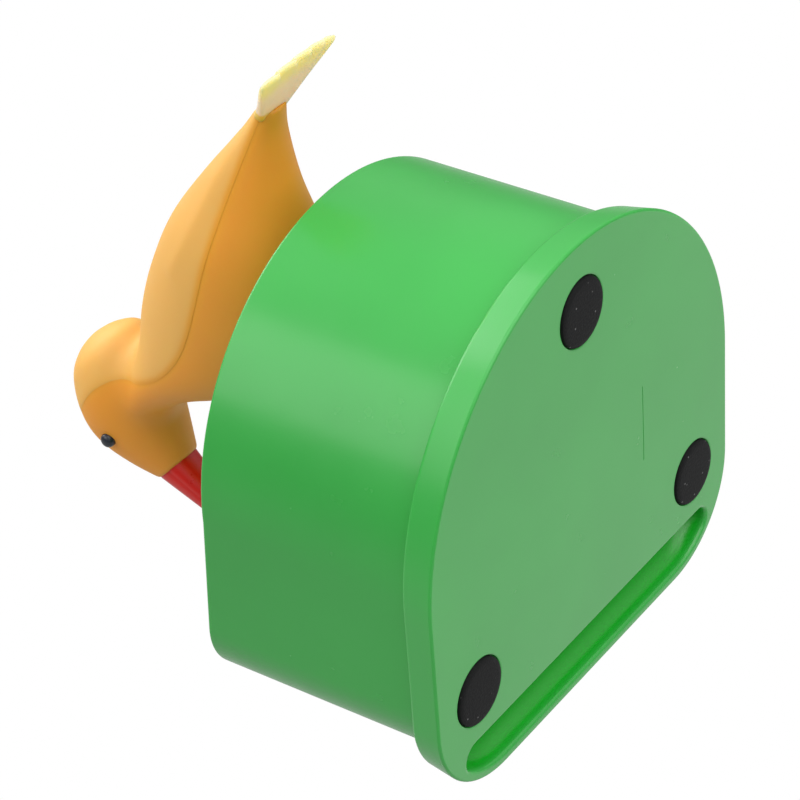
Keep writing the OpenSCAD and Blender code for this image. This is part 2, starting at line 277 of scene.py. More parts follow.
def combine(obj, cutter, operation):
    """Boolean with the exact solver. The cutter is removed."""
    bpy.context.view_layer.update()
    modify(obj, "BOOLEAN", object=cutter, operation=operation, solver="EXACT")
    bpy.data.objects.remove(cutter)
    return obj


def store(obj, name, values):
    """Stores one number for each point of the mesh, for its material to read."""
    attribute = obj.data.attributes.new(name, "FLOAT", "POINT")
    attribute.data.foreach_set("value", values.astype(np.float32))


def prism(name, outline_yz, half_x):
    """A [y, z] outline, given from the pivot, extruded to both sides of the middle."""
    rings = [[(x, PIVOT.y + y, PIVOT.z + z) for y, z in outline_yz] for x in (-half_x, half_x)]
    return loft(name, rings)


def smooth_by_angle(obj, degrees=32):
    """Smooth shading, with an edge kept sharp where its faces turn by more than the angle."""
    bm = bmesh.new()
    bm.from_mesh(obj.data)
    limit = math.radians(degrees)
    for face in bm.faces:
        face.smooth = True
    for edge in bm.edges:
        edge.smooth = len(edge.link_faces) == 2 and edge.calc_face_angle(0) < limit
    bm.to_mesh(obj.data)
    bm.free()


def spline(points, steps):
    """A smooth curve through rows of numbers, each stretch cut in steps."""
    p = np.array(points, float)
    p = np.vstack([2 * p[0] - p[1], p, 2 * p[-1] - p[-2]])
    t = np.linspace(0, 1, steps, endpoint=False)[:, None]
    rows = []
    for i in range(1, len(p) - 2):
        a, b, c, d = p[i - 1], p[i], p[i + 1], p[i + 2]
        rows.append(0.5 * (2 * b + (c - a) * t + (2 * a - 5 * b + 4 * c - d) * t**2
                           + (3 * b - a - 3 * c + d) * t**3))
    return np.vstack(rows + [p[-2:-1]])


def join(name, objects):
    """Joins objects into the first one."""
    bm = bmesh.new()
    for obj in objects:
        bm.from_mesh(obj.data)
    bm.to_mesh(objects[0].data)
    bm.free()
    for obj in objects[1:]:
        bpy.data.objects.remove(obj)
    objects[0].name = name
    return objects[0]


def finish_piece(obj, body, material, nodes, sharp=32):
    """Shades a piece, gives it its material and lets it ride in place of its CAD nodes."""
    smooth_by_angle(obj, sharp)
    modify(obj, "WEIGHTED_NORMAL", keep_sharp=True)
    obj.data.materials.clear()
    obj.data.materials.append(material)
    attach(obj, body)
    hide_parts(*nodes)
    return obj


# ---------------------------------------------------------------- materials


def srgb(r, g, b):
    """A linear colour from display values between 0 and 255."""
    def linear(c):
        c /= 255
        return c / 12.92 if c <= 0.04045 else ((c + 0.055) / 1.055) ** 2.4
    return (linear(r), linear(g), linear(b), 1.0)


class Nodes:
    """Short names for building a material's nodes."""

    def __init__(self, name):
        self.material = bpy.data.materials.new(name)
        self.material.use_nodes = True
        self.tree = self.material.node_tree
        self.shader = self.tree.nodes["Principled BSDF"]
        self.place = self.add("ShaderNodeTexCoord").outputs["Object"]

    def add(self, kind, **settings):
        """A new node, with each setting put on its input or property of that name."""
        node = self.tree.nodes.new(kind)
        for key, value in settings.items():
            if key in node.inputs:
                node.inputs[key].default_value = value
            else:
                setattr(node, key, value)
        return node

    def link(self, a, b):
        self.tree.links.new(a, b)

    def noise(self, size, detail=3.0):
        """Noise between 0 and 1 whose features are about size millimetres across."""
        node = self.add("ShaderNodeTexNoise", Detail=detail)
        node.inputs["Scale"].default_value = 1 / (size * MM)
        self.link(self.place, node.inputs["Vector"])
        return node.outputs["Fac"]

    def ramp(self, value, stops):
        """A value turned into a colour by stops of (place, colour)."""
        node = self.add("ShaderNodeValToRGB")
        while len(node.color_ramp.elements) < len(stops):
            node.color_ramp.elements.new(0.5)
        for element, (at, colour) in zip(node.color_ramp.elements, stops):
            element.position = at
            element.color = colour
        self.link(value, node.inputs["Fac"])
        return node.outputs["Color"]

    def span(self, value, low, high):
        """Maps 0 to 1 onto low to high."""
        node = self.add("ShaderNodeMapRange")
        node.inputs["To Min"].default_value = low
        node.inputs["To Max"].default_value = high
        self.link(value, node.inputs["Value"])
        return node.outputs["Result"]

    def bump(self, height, depth, strength=1.0):
        """Bump of about depth millimetres."""
        node = self.add("ShaderNodeBump", Strength=strength, Distance=depth * MM)
        self.link(height, node.inputs["Height"])
        self.link(node.outputs["Normal"], self.shader.inputs["Normal"])

    def colour(self, output):
        self.link(output, self.shader.inputs["Base Color"])

    def rough(self, output):
        self.link(output, self.shader.inputs["Roughness"])

    def set(self, **values):
        for key, value in values.items():
            self.shader.inputs[key.replace("_", " ")].default_value = value


def shade(colour, factor):
    """A colour made lighter or darker."""
    return tuple(min(c * factor, 1.0) for c in colour[:3]) + (1.0,)


def moulded_plastic(name, colour, radius, subsurface=0.25, rough=0.34, painted_shade=None):
    """Soft translucent plastic with faint flow marks and a very fine moulded grain.

    Where the mesh's attribute of painted shade is 1, the plastic takes the given colour of painted shade.
    """
    m = Nodes(name)
    flow = m.noise(26, 2)
    plain = m.ramp(flow, [(0.25, shade(colour, 0.94)), (0.75, shade(colour, 1.05))])
    if painted_shade:
        near = m.add("ShaderNodeAttribute", attribute_name="painted_shade").outputs["Fac"]
        mix = m.add("ShaderNodeMix", data_type="RGBA")
        mix.inputs[MIX_B].default_value = painted_shade
        m.link(near, mix.inputs["Factor"])
        m.link(plain, mix.inputs[MIX_A])
        plain = mix.outputs[MIX_OUT]
    m.colour(plain)
    m.rough(m.span(m.noise(5, 4), rough - 0.05, rough + 0.07))
    m.bump(m.noise(0.45, 3), 0.012, 0.5)
    m.set(Subsurface_Weight=subsurface, Subsurface_Scale=1.6 * MM, IOR=1.49)
    m.shader.inputs["Subsurface Radius"].default_value = radius
    return m.material


def feather_plastic(name, root, middle, tip):
    """Tail plastic, sprayed a different colour towards the feather tips."""
    m = Nodes(name)
    along = m.add("ShaderNodeAttribute", attribute_name="along").outputs["Fac"]
    edge = m.add("ShaderNodeMath", operation="ADD")
    m.link(along, edge.inputs[0])
    m.link(m.span(m.noise(2.5, 3), -0.06, 0.06), edge.inputs[1])
    m.colour(m.ramp(edge.outputs["Value"], [(0.06, root), (0.14, middle), (0.58, middle), (0.8, tip)]))
    m.rough(m.span(m.noise(3, 3), 0.36, 0.5))
    m.bump(m.noise(0.8, 2), 0.01, 0.3)
    m.set(Subsurface_Weight=1.0, Subsurface_Scale=4.0 * MM, IOR=1.47)
    m.shader.inputs["Subsurface Radius"].default_value = (1.0, 0.8, 0.55)
    return m.material


def foam_rubber(name, colour):
    """Dark foam rubber with fine pores and a few pale specks."""
    m = Nodes(name)
    pores = m.noise(0.35, 4)
    specks = m.add("ShaderNodeTexVoronoi", Scale=1 / (1.7 * MM))
    m.link(m.place, specks.inputs["Vector"])
    pale = m.ramp(specks.outputs["Distance"], [(0.05, srgb(150, 150, 150)), (0.1, colour)])
    grain = m.ramp(pores, [(0.3, shade(colour, 0.6)), (0.7, shade(colour, 1.35))])
    mix = m.add("ShaderNodeMix", data_type="RGBA", blend_type="LIGHTEN")
    mix.inputs["Factor"].default_value = 0.55
    m.link(grain, mix.inputs[MIX_A])
    m.link(pale, mix.inputs[MIX_B])
    m.colour(mix.outputs[MIX_OUT])
    m.rough(m.span(pores, 0.62, 0.9))
    m.bump(pores, 0.09, 0.8)
    m.set(IOR=1.35)
    return m.material


def bright_metal(name, colour, rough):
    """Steel with fine drawn marks along its length."""
    m = Nodes(name)
    marks = m.noise(0.25, 4)
    m.colour(m.ramp(marks, [(0.3, shade(colour, 0.85)), (0.7, colour)]))
    m.rough(m.span(m.noise(1.5, 4), rough, rough + 0.18))
    m.bump(marks, 0.01, 0.4)
    m.set(Metallic=1.0)
    return m.material


def paint(nodes, material):
    """Gives CAD nodes that stay in view their material and rounds their edges a little."""
    for name in nodes:
        obj = frame["nodes"][name]
        obj.data.materials.clear()
        obj.data.materials.append(material)
        weld = obj.modifiers.new("weld", "WELD")
        weld.merge_threshold = 0.002 * MM
        bevel = obj.modifiers.new("edges", "BEVEL")
        bevel.width = 0.12 * MM
        bevel.segments = 2
        bevel.limit_method = "ANGLE"
        bevel.angle_limit = math.radians(35)
        bevel.use_clamp_overlap = True
        for polygon in obj.data.polygons:
            polygon.use_smooth = True
        bevel.harden_normals = True


# ---------------------------------------------------------------- box


def rounded_edge(inset, z, radius, turn, steps=8):
    """Profile points round a bottom (turn 1) or top (turn -1) outer edge, as (inset, height)."""
    points = []
    for k in range(steps + 1):
        a = math.radians(90 * k / steps)
        points.append((inset + radius * (1 - math.sin(a)), z + turn * radius * (1 - math.cos(a))))
    return points


def foot_centres():
    """Each rubber foot's middle, top and radius, in the order of FOOT_NODES."""
    for name in FOOT_NODES:
        lo, hi = node_box(name)
        yield (lo + hi) / 2, hi.z, (hi.x - lo.x) / 2


def make_base():
    """Base tray: rounded flange, hollow inside, with a finger recess and three foot pockets."""
    bottom = rounded_edge(0.0, BASE_Z, BOTTOM_EDGE_R, 1)
    top = rounded_edge(FLANGE_DRAFT, FLANGE_TOP, FLANGE_EDGE_R, -1)
    rings = [box_ring(inset, z) for inset, z in bottom]
    rings += [box_ring(inset, z, -FLANGE_FRONT_LESS) for inset, z in reversed(top)]
    rings.append(box_ring(WALL_INSET + WALL + 0.1, FLANGE_TOP))
    base = loft("base", rings)
    floor_z = BASE_Z + WALL
    half = BASE_R - CAVITY_INSET
    cavity = outline(half, RECESS_Y + WALL, BASE_HI.y - CAVITY_INSET, CAVITY_CORNER_R, half)
    combine(base, loft("cavity", [raised(cavity, z) for z in (floor_z, FLANGE_TOP + 2)]), "DIFFERENCE")
    combine(base, recess_cutter(), "DIFFERENCE")
    for centre, top_z, radius in foot_centres():
        pocket = radius + 0.1
        profile = [(pocket + 0.4, BASE_Z - 1), (pocket + 0.4, BASE_Z - 0.01)]
        profile += [(pocket + 0.12, BASE_Z + 0.1), (pocket, BASE_Z + 0.35), (pocket, top_z)]
        profile += [(SCREW_HEAD_R, top_z), (SCREW_HEAD_R, top_z + SCREW_HEAD_H)]
        profile += [(SCREW_R, top_z + SCREW_HEAD_H), (SCREW_R, top_z + 20)]
        combine(base, lathe("pocket", profile, (centre.x, centre.y, 0)), "DIFFERENCE")
    groove = outline(GROOVE_HALF_W, -GROOVE_HALF, GROOVE_HALF, 0.15, 0.15)
    groove = [(x + GROOVE_AT[0], y + GROOVE_AT[1]) for x, y in groove]
    groove_ends = (BASE_Z - 1, BASE_Z + GROOVE_DEPTH)
    combine(base, loft("groove", [raised(groove, z) for z in groove_ends]), "DIFFERENCE")
    mark_recess_shade(base)
    return base


def mark_recess_shade(base):
    """Stores painted shade for the finger recess: 1 inside it and 0 at its rim."""
    place = np.array([v.co for v in base.data.vertices]) / MM
    x, y, z = np.abs(place[:, 0]), place[:, 1], place[:, 2]
    corner_x, corner_y = BASE_R - CORNER_R, BASE_LO.y + CORNER_R
    out = np.hypot(np.maximum(x - corner_x, 0), np.minimum(y - corner_y, 0))
    inside = (out < CORNER_R - 1.2) & (y < RECESS_Y + 0.5) & (z < BASE_Z + RECESS_DEPTH + 0.6)
    store(base, "painted_shade", inside * np.clip((z - BASE_Z - 0.2) / 1.2, 0, 1))


def recess_outline(grow):
    """The finger recess seen from below: straight at the back, parallel to the box's edge in front."""
    big = CORNER_R - RECESS_RIM
    centre = Vector((BASE_R - CORNER_R, BASE_LO.y + CORNER_R))
    end_y = RECESS_Y - RECESS_END_R
    end_x = centre.x + math.sqrt((big - RECESS_END_R) ** 2 - (end_y - centre.y) ** 2)
    meet = math.degrees(math.atan2(end_y - centre.y, end_x - centre.x))
    right = arc(centre.x, centre.y, big + grow, -90, meet, 20)
    right += arc(end_x, end_y, RECESS_END_R + grow, meet, 90, 14)[1:]
    left = [(-x, y) for x, y in reversed(right)]
    return right + left


def recess_cutter():
    """Cutter for the finger recess: a scoop with a rounded mouth, curved from rim to rim."""
    spine_y = RECESS_Y - RECESS_SPINE
    mouth = [(0.7, -1.0), (0.7, -0.01), (0.3, 0.09), (0.08, 0.3), (0.0, RECESS_MOUTH)]
    rings = [raised(recess_outline(grow), BASE_Z + z) for grow, z in mouth]
    for a in range(8, 86, 7):
        pull = 1 - math.cos(math.radians(a))
        z = BASE_Z + RECESS_MOUTH + RECESS_DEPTH * math.sin(math.radians(a))
        ring = []
        for x, y in recess_outline(0.0):
            spine_x = max(min(x, RECESS_SPINE_HALF), -RECESS_SPINE_HALF)
            ring.append((x + (spine_x - x) * pull, y + (spine_y - y) * pull, z))
        rings.append(ring)
    return loft("recess", rings)


def top_height(drop):
    """Height of the box's top at y, less drop: it is level behind the round back's centre."""
    front_y = BASE_LO.y + WALL_INSET
    slope = (FRONT_TOP - BOX_TOP) / (ROUND_Y - front_y)
    return lambda y: BOX_TOP + slope * max(ROUND_Y - y, 0.0) - drop


def make_housing():
    """Housing: the upright wall and the top with its rounded edge and the trough's opening."""
    inner = WALL_INSET + WALL
    rings = [box_ring(inner, BOX_TOP - WALL), box_ring(inner, FLANGE_TOP)]
    rings += [box_ring(WALL_INSET + 0.15, FLANGE_TOP, FRONT_DRAFT)]
    rings += [box_ring(WALL_INSET, FLANGE_TOP + 0.15, FRONT_DRAFT)]
    middle = (FLANGE_TOP + BOX_TOP) / 2
    rings.append(box_ring(WALL_INSET, middle, FRONT_DRAFT / 2))
    for inset, drop in reversed(rounded_edge(WALL_INSET, 0.0, TOP_EDGE_R, 1)):
        rings.append(box_ring(inset, top_height(drop)))
    housing = loft("housing", rings, closed=False)
    cap_housing(housing, len(rings))
    combine(housing, trough_cutter(inner), "DIFFERENCE")
    return housing


def cap_housing(obj, ring_count):
    """Closes the housing's inner ceiling and its top, which is bent at the round back's centre."""
    bm = bmesh.new()
    bm.from_mesh(obj.data)
    boundary = [e for e in bm.edges if len(e.link_faces) == 1]
    caps = bmesh.ops.holes_fill(bm, edges=boundary, sides=0)["faces"]
    for face in caps:
        zs = [v.co.z for v in face.verts]
        if max(zs) - min(zs) > 0.1 * MM:
            ends = [v for v in face.verts if abs(v.co.y - ROUND_Y * MM) < 1e-6]
            ends.sort(key=lambda v: v.co.x)
            bmesh.utils.face_split(face, ends[0], ends[-1])
    bmesh.ops.recalc_face_normals(bm, faces=bm.faces)
    bm.to_mesh(obj.data)
    bm.free()


def trough_cutter(inner):
    """Cutter for the trough's opening, with a rounded lip."""
    y0 = BASE_LO.y + inner + 0.2
    y1 = BASE_LO.y + inner + TROUGH_DEPTH
    half = BASE_R - inner - 0.2

    def ring(grow, height):
        return raised(outline(half, y0, y1, CORNER_R - inner, TROUGH_BACK_R, -grow), height)

    rings = [ring(0.0, BOX_TOP - WALL - 2)]
    for grow, drop in [(0.0, 0.7), (0.09, 0.37), (0.32, 0.11), (0.68, 0.0), (0.68, -4.0)]:
        rings.append(ring(grow, top_height(drop)))
    return loft("trough", rings)


def make_feet():
    """Rubber feet: slightly domed discs with rounded edges."""
    for name, (centre, top_z, r) in zip(FOOT_NODES, foot_centres()):
        profile = [(0.02, 0.0), (r * 0.5, 0.01), (r - 0.9, 0.03), (r - 0.35, 0.09), (r - 0.1, 0.22),
                   (r, 0.42), (r, top_z - 0.1), (r - 0.1, top_z), (0.02, top_z)]
        foot = lathe(name + "_pad", profile, (centre.x, centre.y, 0), 96)
        finish_piece(foot, "stand", RUBBER, [name])


def make_hopper():
    """Hopper floor: one bent sheet that rounds down into the trough, and two ribs below it."""
    lo, hi = node_box("hopper_tray")
    sheet_t = 1.5
    front, back, floor_z = lo.y, -9.2, 30.2
    path = [(front + sheet_t / 2, hi.z), (front + 7.5, floor_z), (front + 12.3, floor_z)]
    path = np.array(path + [(back, 32.3), (back, hi.z)])
    line = rounded_path(path, 2.6)
    side = np.gradient(line, axis=0)
    side /= np.linalg.norm(side, axis=1)[:, None]
    normal = np.c_[-side[:, 1], side[:, 0]] * (sheet_t / 2 - 0.02)
    loop = np.vstack([line + normal, (line - normal)[::-1]])
    sheet = loft("hopper", [[(x, y, z) for y, z in loop] for x in (-40, 40)])
    inset = WALL_INSET + WALL + 0.25
    combine(sheet, loft("wall", [box_ring(inset, 20), box_ring(inset, 45)]), "INTERSECT")
    ribs = []
    for s in (-1, 1):
        rib = [[(x + s * 18, y - 20, z) for x, y in outline(sheet_t / 2, -6, 6, 0.3, 0.3)]
               for z in (lo.z + 0.02, 29.6)]
        ribs.append(loft("rib", rib))
    return join("hopper", [sheet] + ribs)


def rounded_path(points, radius, steps=8):
    """A polyline with its inner corners rounded."""
    out = [points[0]]
    for a, b, c in zip(points[:-2], points[1:-1], points[2:]):
        u, v = (a - b) / np.linalg.norm(a - b), (c - b) / np.linalg.norm(c - b)
        reach = min(radius, np.linalg.norm(a - b) / 2.2, np.linalg.norm(c - b) / 2.2)
        start, end = b + u * reach, b + v * reach
        for k in range(steps + 1):
            t = k / steps
            out.append((1 - t) ** 2 * start + 2 * t * (1 - t) * b + t**2 * end)
    return np.array(out + [points[-1]])


# ---------------------------------------------------------------- bird


def body_rings(sections, steps=10, sides=72):
    """Rings of the body through its sections."""
    rows = spline(sections, steps)
    rings = []
    for ty, tz, by, bz, half_w in rows:
        mid = np.array([(ty + by) / 2, (tz + bz) / 2])
        up = np.array([(ty - by) / 2, (tz - bz) / 2])
        rings.append(section_ring(mid, up, half_w, sides))
    return rings


def section_ring(mid, up, half_w, sides):
    """An elliptical ring about mid, whose half height is the vector up."""
    ring = []
    for k in range(sides):
        a = 2 * math.pi * k / sides
        p = mid + up * math.cos(a)
        ring.append((half_w * math.sin(a), PIVOT.y + p[0], PIVOT.z + p[1]))
    return ring


def head_rings(sections, steps=10, sides=72):
    """Rings of the head through its sections."""
    angle = math.radians(HEAD_ANGLE)
    axis = np.array([math.cos(angle), math.sin(angle)])
    crown = np.array([math.sin(angle), -math.cos(angle)])
    rings = []
    for along, shift, half_h, half_w in spline(sections, steps):
        mid = np.array(HEAD_AT) + along * axis + shift * crown
        rings.append(section_ring(mid, crown * half_h, half_w, sides))
    return rings


def bird_skin():
    """The bird's outer skin: body and head lofts grown together and smoothed."""
    skin = join("skin", [loft("body", body_rings(BODY)), loft("head", head_rings(HEAD))])
    modify(skin, "REMESH", mode="VOXEL", voxel_size=SKIN_VOXEL * MM)
    modify(skin, "SMOOTH", factor=0.5, iterations=8)
    fill_neck(skin)
    return skin


def fill_neck(skin):
    """Fills the valley round the nape until head and back flow into each other."""
    mesh = skin.data
    co = np.array([v.co for v in mesh.vertices]) / MM
    edges = np.array([e.vertices for e in mesh.edges])
    away = distance_to_line(co[:, 1:] - np.array(PIVOT)[1:], np.array(NECK_LINE, float))
    active = np.flatnonzero(away < NECK_REACH)
    new_index = np.full(len(co), -1)
    new_index[active] = np.arange(len(active))
    edges = new_index[edges]
    edges = edges[(edges >= 0).all(axis=1)]
    count = np.maximum(np.bincount(edges.ravel(), minlength=len(active)), 1)[:, None]
    weight = 0.5 * np.clip((NECK_REACH - away[active]) / NECK_FADE, 0, 1)[:, None]
    weight[count[:, 0] < 3] = 0
    part = co[active]
    for turn in range(NECK_ROUNDS + SMOOTH_ROUNDS):
        total = np.zeros_like(part)
        for axis in range(3):
            total[:, axis] = np.bincount(edges[:, 0], part[edges[:, 1], axis], len(part))
            total[:, axis] += np.bincount(edges[:, 1], part[edges[:, 0], axis], len(part))
        move = weight * (total / count - part)
        if turn < NECK_ROUNDS:
            if turn % 50 == 0:
                co[active] = part
                mesh.vertices.foreach_set("co", (co * MM).ravel())
                mesh.update()
                normals = np.array([n.vector for n in mesh.vertex_normals])[active]
            outward = (move * normals).sum(axis=1, keepdims=True)
            move -= normals * np.minimum(outward, 0)
        part = part + move
    co[active] = part
    mesh.vertices.foreach_set("co", (co * MM).ravel())
    mesh.update()


def distance_to_line(points, line):
    """For each [y, z] point, how far it is from a polyline."""
    best = np.full(len(points), 1e9)
    for a, b in zip(line[:-1], line[1:]):
        ab = b - a
        t = np.clip(((points - a) @ ab) / (ab @ ab), 0, 1)
        best = np.minimum(best, np.linalg.norm(points - a - t[:, None] * ab, axis=1))
    return best


def push(obj, height):
    """Moves points along their normals by height(places) millimetres, with places from the pivot."""
    mesh = obj.data
    co = np.array([v.co for v in mesh.vertices]) / MM
    normals = np.array([n.vector for n in mesh.vertex_normals])
    local = co - np.array(PIVOT)
    co += normals * height(local)[:, None]
    mesh.vertices.foreach_set("co", (co * MM).ravel())
    mesh.update()


def crease_line():
    """The crease as a smooth line."""
    return spline(CREASE, 8)


def crease_step(local):
    """How strong the crease is at a place: full along the body and softer round the hood."""
    return 1.0 - 0.7 * np.clip((local[:, 2] - HOOD_FROM_Z) / 6, 0, 1)


def open_shell(skin, above):
    """The part of the skin on one side of the crease, as an open surface."""
    region = [tuple(p) for p in crease_line()] + [(-60, 30), (-60, 70), (70, 70), (70, -20)]
    cutter = prism("region", region, 30)
    for obj in (skin, cutter):
        obj.data.materials.clear()
        obj.data.materials.append(MARK_SKIN)
        obj.data.materials.append(MARK_CUT)
    for polygon in cutter.data.polygons:
        polygon.material_index = 1
    shell = skin.copy()
    shell.data = skin.data.copy()
    bpy.context.scene.collection.objects.link(shell)
    combine(shell, cutter, "INTERSECT" if above else "DIFFERENCE")
    bm = bmesh.new()
    bm.from_mesh(shell.data)
    cut = [f for f in bm.faces if f.material_index == 1]
    bmesh.ops.delete(bm, geom=cut, context="FACES")
    bmesh.ops.remove_doubles(bm, verts=bm.verts, dist=0.02 * MM)
    bmesh.ops.dissolve_degenerate(bm, edges=bm.edges, dist=0.01 * MM)
    bm.to_mesh(shell.data)
    bm.free()
    return shell


def back_relief(local):
    """The back shell stands proud of the belly along the crease and has a soft fold beside it."""
    d = distance_to_line(local[:, 1:], crease_line())
    lip = BACK_LIP * crease_step(local) * (1 - 0.85 * np.exp(-((d / 0.5) ** 2)))
    fade = np.exp(-((d / 9.0) ** 2))
    fold = distance_to_line(local[:, 1:], spline(FOLD, 8))
    ends = np.clip((local[:, 1] - 6) / 10, 0, 1) * np.clip((38 - local[:, 1]) / 8, 0, 1)
    return lip * (0.35 + 0.65 * fade) + FOLD_HEIGHT * np.exp(-((fold / 1.3) ** 2)) * ends


def belly_relief(local):
    """The belly sinks a little beside the crease."""
    d = distance_to_line(local[:, 1:], crease_line())
    return -BELLY_SINK * crease_step(local) * np.exp(-((d / 1.2) ** 2))


def thicken(shell):
    """Gives the shell its wall, which thins towards the tail's narrow end, and stores the crease's
    painted shade.
    """
    mark_crease_shade(shell)
    y = np.array([v.co.y for v in shell.data.vertices]) / MM - PIVOT.y
    group = shell.vertex_groups.new(name="wall")
    for index, weight in enumerate(np.clip((42.5 - y) / 12, 0.2, 1)):
        group.add([index], float(weight), "REPLACE")
    modify(shell, "SOLIDIFY", thickness=SHELL_T * MM, offset=-1, use_rim=True, vertex_group="wall")
    shell.vertex_groups.clear()
    return shell


def mark_crease_shade(shell):
    """Stores painted shade along the crease: 1 on it and 0 far away."""
    local = np.array([v.co for v in shell.data.vertices]) / MM - np.array(PIVOT)
    d = distance_to_line(local[:, 1:], crease_line())
    near = crease_step(local) * np.exp(-((d / CREASE_SHADE_SPREAD) ** 2))
    store(shell, "painted_shade", near)


def make_shells():
    """Belly shell and back shell, parted along the crease."""
    skin = bird_skin()
    back = open_shell(skin, True)
    push(back, back_relief)
    thicken(back)
    belly = open_shell(skin, False)
    push(belly, belly_relief)
    thicken(belly)
    slot = prism("slot", SLOT, SLOT_HALF)
    modify(slot, "BEVEL", width=0.8 * MM, segments=3, limit_method="ANGLE")
    combine(belly, slot, "DIFFERENCE")
    bpy.data.objects.remove(skin)
    return belly, back


def make_tail():
    """Tail: one fan whose feathers overlap like steps that fade out towards the body."""
    root = np.array([39.2, -14.9])
    angle = math.radians(-33)
    along = np.array([math.cos(angle), math.sin(angle)])
    up = np.array([-math.sin(angle), math.cos(angle)])
    feathers, per_feather, rows = 5, 14, 30
    apex, half_angle, radius = 5.9, math.radians(26.5), 18.2
    tip_drop, step = 0.75, 0.28
    columns = []
    for k in range(feathers):
        for i in range(per_feather):
            c = (2 * i / (per_feather - 1) - 1) * 0.985
            columns.append(((2 * (k + 0.5 + 0.5 * c) / feathers - 1) * half_angle, c))
    rings = []
    for i in range(rows + 1):
        t = i / rows
        fade = np.clip((t - 0.45) / 0.35, 0, 1)
        half_t = (0.85 - 0.45 * t) * math.sqrt(max(1 - max((t - 0.93) / 0.07, 0) ** 2, 0.0)) + 0.01
        top, bottom = [], []
        for turn, c in columns:
            start = (apex - 1.6) / math.cos(turn)
            end = radius + tip_drop * math.sqrt(1 - (0.95 * c) ** 2)
            reach = start + (end - start) * t
            edge = 1 - 0.55 * max((abs(turn) / half_angle - 0.85) / 0.15, 0) ** 2
            level = step * fade * c * 0.5
            x, r = reach * math.sin(turn), reach * math.cos(turn) - apex
            for side, out in ((1, top), (-1, bottom)):
                p = root + along * r + up * (level + side * half_t * edge)
                out.append((x, PIVOT.y + p[0], PIVOT.z + p[1]))
        rings.append(top + bottom[::-1])
    tail = loft("tail_feathers", rings, closed=False)
    close_fan(tail, len(columns), rows)
    start = np.array([0, PIVOT.y + root[0] - apex * along[0], PIVOT.z + root[1] - apex * along[1]])
    co = np.array([v.co for v in tail.data.vertices]) / MM
    reach = (np.linalg.norm(co - start, axis=1) - apex) / (radius + tip_drop - apex)
    reach -= 0.05 * co[:, 0] * np.clip(1 - reach / 0.5, 0, 1)
    store(tail, "along", reach)
    return tail


def close_fan(tail, across, rows):
    """Closes the fan's two thin ends with a strip of faces from its top to its underside."""
    bm = bmesh.new()
    bm.from_mesh(tail.data)
    bm.verts.ensure_lookup_table()
    for first in (0, rows * 2 * across):
        for i in range(across - 1):
            j = 2 * across - 1 - i
            bm.faces.new([bm.verts[first + n] for n in (i, i + 1, j - 1, j)])
    bmesh.ops.recalc_face_normals(bm, faces=bm.faces)
    bm.to_mesh(tail.data)
    bm.free()


def beak_axis():
    """Where the beak starts, measured from the pivot, and the way it points."""
    angle = math.radians(HEAD_ANGLE)
    root = np.array(HEAD_AT) + BEAK_FROM * np.array([math.cos(angle), math.sin(angle)])
    turn = math.radians(BEAK_ANGLE)
    return root, np.array([math.cos(turn), math.sin(turn)])


def make_beak():
    """Beak: a tapered, faintly four-sided cone with a fine parting line along each side."""
    root, axis = beak_axis()
    crown = np.array([axis[1], -axis[0]])
    rings = []
    n, sides = 28, 64
    for i in range(-4, n + 1):
        s = i / n
        reach = BEAK_LEN * s
        radius = BEAK_ROOT_R + (BEAK_TIP_R - BEAK_ROOT_R) * max(s, 0)
        radius *= math.sqrt(max(1 - max((s - 0.94) / 0.075, 0) ** 2, 0.02))
        ring = []
        for k in range(sides):
            a = 2 * math.pi * k / sides
            c, d = math.cos(a), math.sin(a)
            square = (abs(c) ** 2.35 + abs(d) ** 2.35) ** (-1 / 2.35)
            groove = 1 - 0.05 * math.exp(-((abs(math.degrees(math.asin(c)) + 14) / 5) ** 2))
            r = radius * square * groove
            p = root + axis * reach + crown * (r * c)
            ring.append((r * d, PIVOT.y + p[0], PIVOT.z + p[1]))
        rings.append(ring)
    return loft("beak_red", rings)


def make_eyes():
    """Eyes: small glossy domes set into the head."""
    for name, side in (("eye_left", 1), ("eye_right", -1)):
        lo, hi = node_box(name)
        centre = (lo + hi) / 2
        outer = hi.x if side > 0 else -lo.x
        profile = [(0.02, 0.0), (0.42, -0.04), (0.76, -0.16), (1.02, -0.38), (1.16, -0.7), (1.2, -1.1),
                   (1.1, -1.8), (0.02, -1.8)]
        eye = lathe(name + "_bead", profile, steps=48)
        eye.data.transform(Vector((side, 0, 0)).to_track_quat("Z", "Y").to_matrix().to_4x4())
        eye.data.transform(Matrix.Translation(Vector((side * outer, centre.y, centre.z)) * MM))
        finish_piece(eye, "bird", EYE, [name])


# ---------------------------------------------------------------- stage


def make_camera():
    """The view from low on the bird's left, behind the round back."""
    data = bpy.data.cameras.new("camera")
    data.lens = 132.8
    data.sensor_width = 36
    data.shift_x = -0.037
    data.shift_y = -0.039
    data.clip_start = 0.01
    data.clip_end = 20
    camera = bpy.data.objects.new("camera", data)
    camera.location = Vector((268.5, 232.8, -175.1)) * MM
    camera.rotation_euler = [math.radians(a) for a in (149.88, 55.36, -174.15)]
    bpy.context.scene.collection.objects.link(camera)
    bpy.context.scene.camera = camera


def make_light(name, at, size, power, colour=(1, 1, 1)):
    """A soft square light at a place in millimetres, aimed at the object's middle."""
    data = bpy.data.lights.new(name, "AREA")
    data.size = size * MM
    data.energy = power
    data.color = colour
    light = bpy.data.objects.new(name, data)
    light.location = Vector(at) * MM
    aim = Vector((0, 0, 45)) * MM - light.location
    light.rotation_euler = aim.to_track_quat("-Z", "Y").to_euler()
    bpy.context.scene.collection.objects.link(light)


